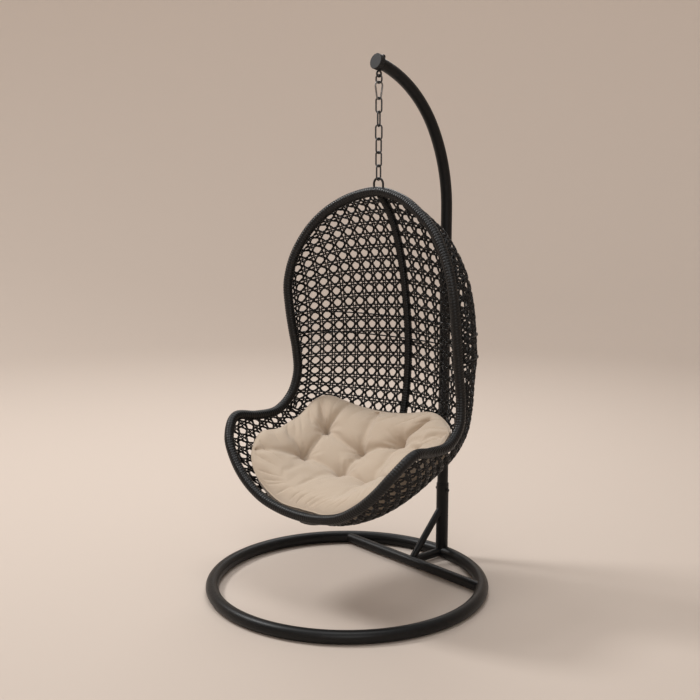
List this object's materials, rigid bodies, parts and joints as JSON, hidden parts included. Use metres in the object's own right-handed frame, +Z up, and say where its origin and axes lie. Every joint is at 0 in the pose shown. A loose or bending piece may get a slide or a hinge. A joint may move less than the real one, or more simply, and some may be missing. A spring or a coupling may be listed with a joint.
{
  "type": "hanging egg chair",
  "caption": "Egg-shaped woven basket seat with a tufted cushion, hung on a chain and snap hook from a curved tubular arm on a ring base.",
  "frame": {"origin": "on the floor, at the centre of the base ring", "axes": "+Z up, +Y towards the post, the seat opens towards -Y"},
  "size_m": [1.048, 1.0479, 1.9456],
  "materials": {
    "frame_paint": "satin",
    "cap_plastic": "matte",
    "bolt_steel": "satin",
    "chain_steel": "satin",
    "hook_steel": "satin",
    "loop_steel": "satin",
    "basket_steel": "satin",
    "rattan": "satin",
    "cushion_fabric": "matte"
  },
  "bodies": {
    "stand": {"base_ring": "frame_paint", "base_cross_tube": "frame_paint", "base_stub_tube": "frame_paint", "base_brace": "frame_paint", "lower_post": "frame_paint", "upper_arm": "frame_paint", "post_bolt": "bolt_steel", "post_bolt_nut": "bolt_steel", "arm_end_cap": "cap_plastic", "eye_bolt": "bolt_steel", "eye_bolt_washers": "bolt_steel", "eye_bolt_nut": "bolt_steel"},
    "link_1": {"chain_link_1": "chain_steel"},
    "hook": {"snap_hook_body": "hook_steel", "snap_hook_pin": "hook_steel"},
    "gate": {"snap_hook_gate": "hook_steel", "snap_hook_spring": "hook_steel"},
    "link_2": {"chain_link_2": "chain_steel"},
    "link_3": {"chain_link_3": "chain_steel"},
    "link_4": {"chain_link_4": "chain_steel"},
    "link_5": {"chain_link_5": "chain_steel"},
    "link_6": {"chain_link_6": "chain_steel"},
    "link_7": {"chain_link_7": "chain_steel"},
    "basket": {"hanging_loop": "loop_steel", "rim_frame_left": "basket_steel", "rim_frame_right": "basket_steel", "rim_wrap_left": "rattan", "rim_wrap_right": "rattan", "spine_frame": "basket_steel", "spine_wrap": "rattan", "hoop_upper": "rattan", "hoop_lower": "rattan", "hood_weave_left": "rattan", "hood_weave_right": "rattan", "seat_weave_left": "rattan", "seat_weave_right": "rattan"},
    "cushion": {"seat_cushion": "cushion_fabric"}
  },
  "joints": [
    {"name": "eye_swing", "type": "hinge", "parent": "stand", "child": "link_1", "pos_m": [0, 0.15011, 1.86458], "axis": [0, 1, 0], "range_deg": [-3, 3]},
    {"name": "hook_swing", "type": "hinge", "parent": "link_1", "child": "hook", "pos_m": [0, 0.15011, 1.84228], "axis": [0.9703, 0.2419, 0], "range_deg": [-4, 1.2]},
    {"name": "gate_hinge", "type": "hinge", "parent": "hook", "child": "gate", "pos_m": [0.00167, 0.15959, 1.80157], "axis": [0.9848, -0.1736, 0], "range_deg": [0, 20], "stiffness_Nm_per_rad": 0.04, "springref_deg": -34.38},
    {"name": "link_2_swing", "type": "hinge", "parent": "hook", "child": "link_2", "pos_m": [0, 0.15011, 1.78648], "axis": [0.1736, 0.9848, 0], "range_deg": [-3, 3]},
    {"name": "link_3_swing", "type": "hinge", "parent": "link_2", "child": "link_3", "pos_m": [0, 0.15011, 1.73918], "axis": [0.9703, 0.2419, 0], "range_deg": [-4, 1.2]},
    {"name": "link_4_twist", "type": "hinge", "parent": "link_3", "child": "link_4", "pos_m": [0, 0.15011, 1.69188], "axis": [0, 0, 1], "range_deg": [-6, 6]},
    {"name": "link_5_swing", "type": "hinge", "parent": "link_4", "child": "link_5", "pos_m": [0, 0.15011, 1.64458], "axis": [0.9135, 0.4067, 0], "range_deg": [-4, 1.2]},
    {"name": "link_6_swing", "type": "hinge", "parent": "link_5", "child": "link_6", "pos_m": [0, 0.15011, 1.59728], "axis": [0, 1, 0], "range_deg": [-3, 3]},
    {"name": "link_7_swing", "type": "hinge", "parent": "link_6", "child": "link_7", "pos_m": [0, 0.15011, 1.54998], "axis": [0.9848, 0.1736, 0], "range_deg": [-4, 1.2]},
    {"name": "basket_twist", "type": "hinge", "parent": "link_7", "child": "basket", "pos_m": [0, 0.15011, 1.50268], "axis": [0, 0, 1], "range_deg": [-8, 8]},
    {"name": "cushion_lift", "type": "slide", "parent": "basket", "child": "cushion", "axis": [0.0557, -0.3961, 0.9165], "range_m": [0, 0.15]}
  ]
}
